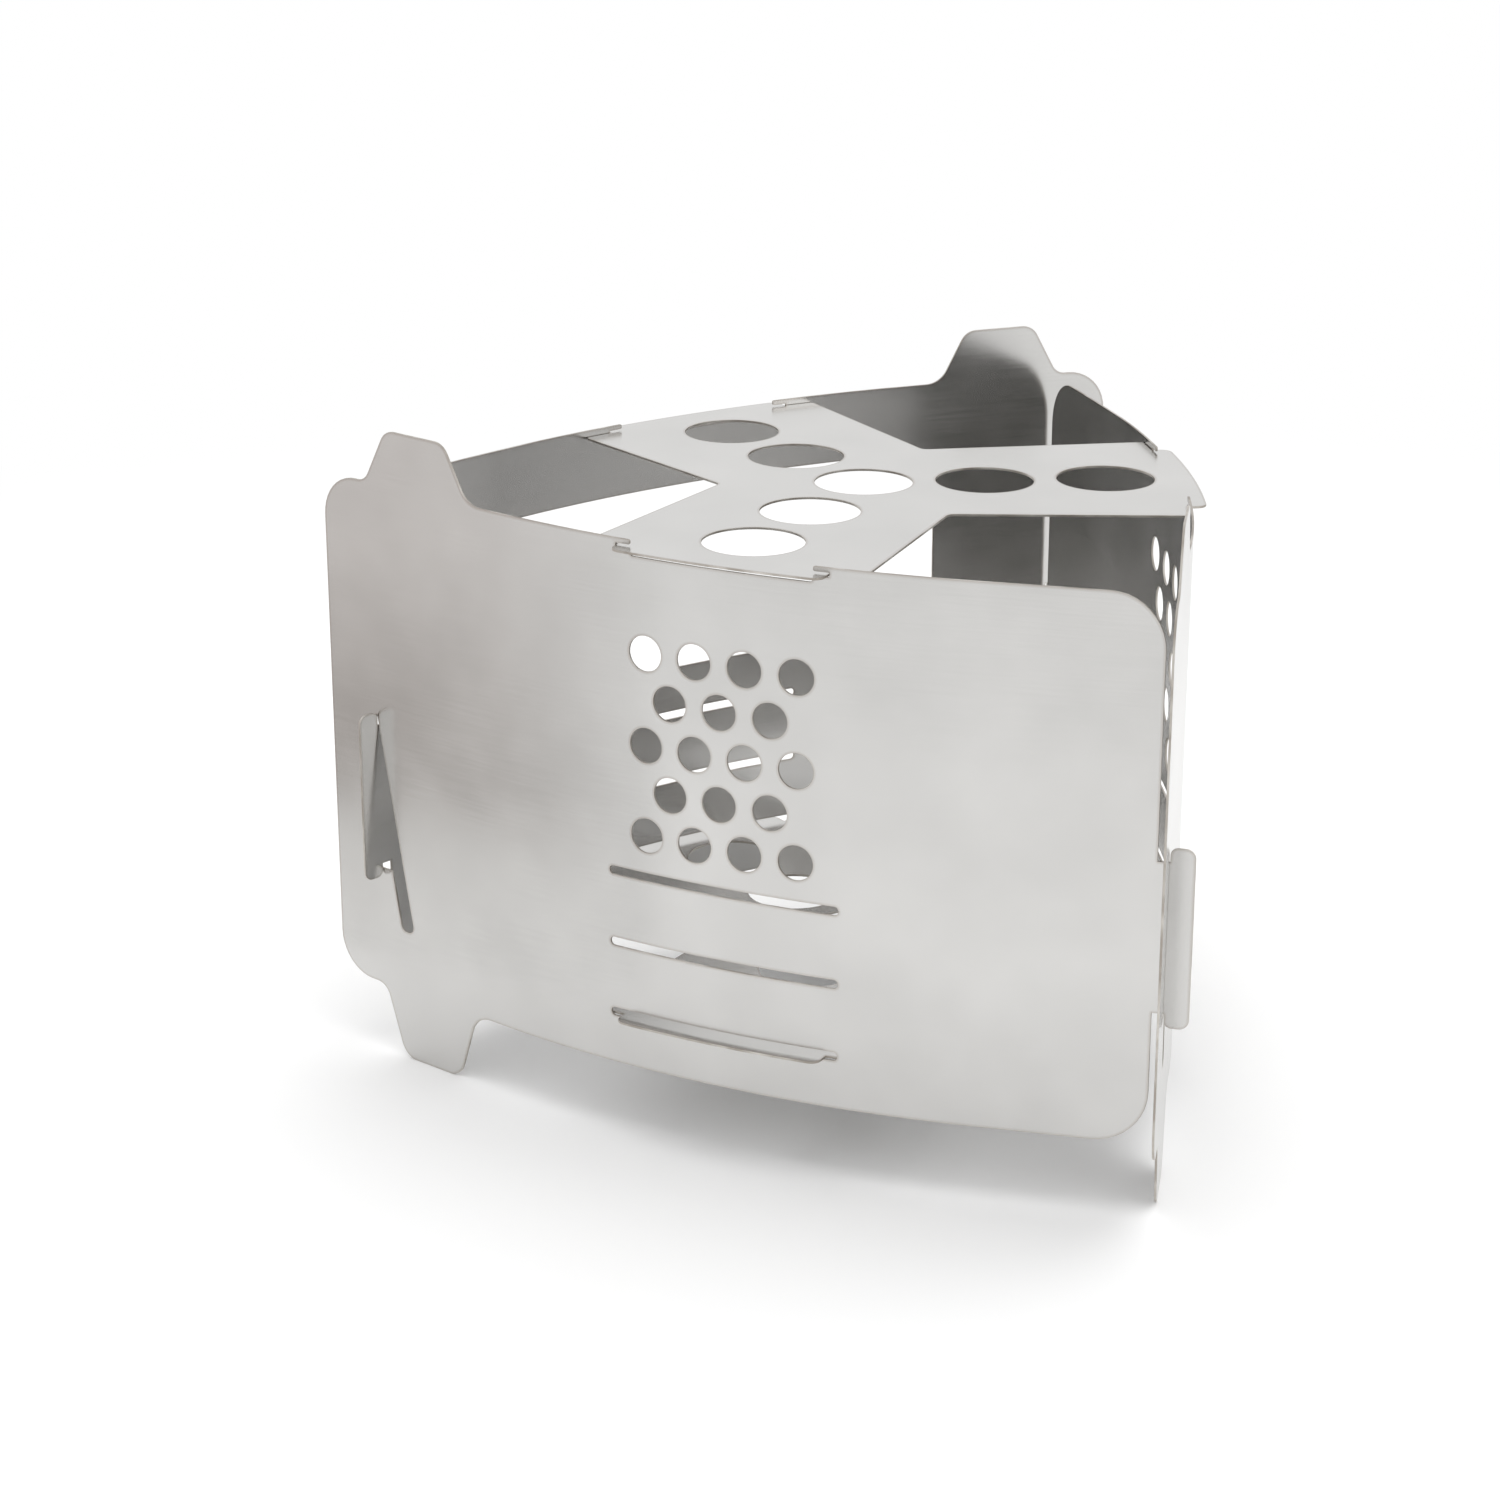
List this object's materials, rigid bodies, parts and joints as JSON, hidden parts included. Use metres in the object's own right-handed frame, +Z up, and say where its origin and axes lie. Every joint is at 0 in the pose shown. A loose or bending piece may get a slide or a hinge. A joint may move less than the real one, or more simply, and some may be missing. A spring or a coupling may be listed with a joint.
{
  "type": "twig stove",
  "caption": "Flat-pack stainless twig stove: three bowed panels hook together by T-heads, with perforated Y-shaped plates on top and inside.",
  "frame": {"origin": "on the ground, under the middle of the assembled stove's bounding box", "axes": "+Z up; a panel with round vents faces -Y, the other one faces +X and +Y, and the panel with the fuel window faces -X and +Y"},
  "size_m": [0.2126, 0.1972, 0.152],
  "materials": {
    "sheet_steel": "brushed"
  },
  "bodies": {
    "root": {"front_panel": "sheet_steel", "right_panel": "sheet_steel", "rear_panel": "sheet_steel", "top_plate": "sheet_steel", "fire_grate": "sheet_steel"}
  },
  "joints": []
}
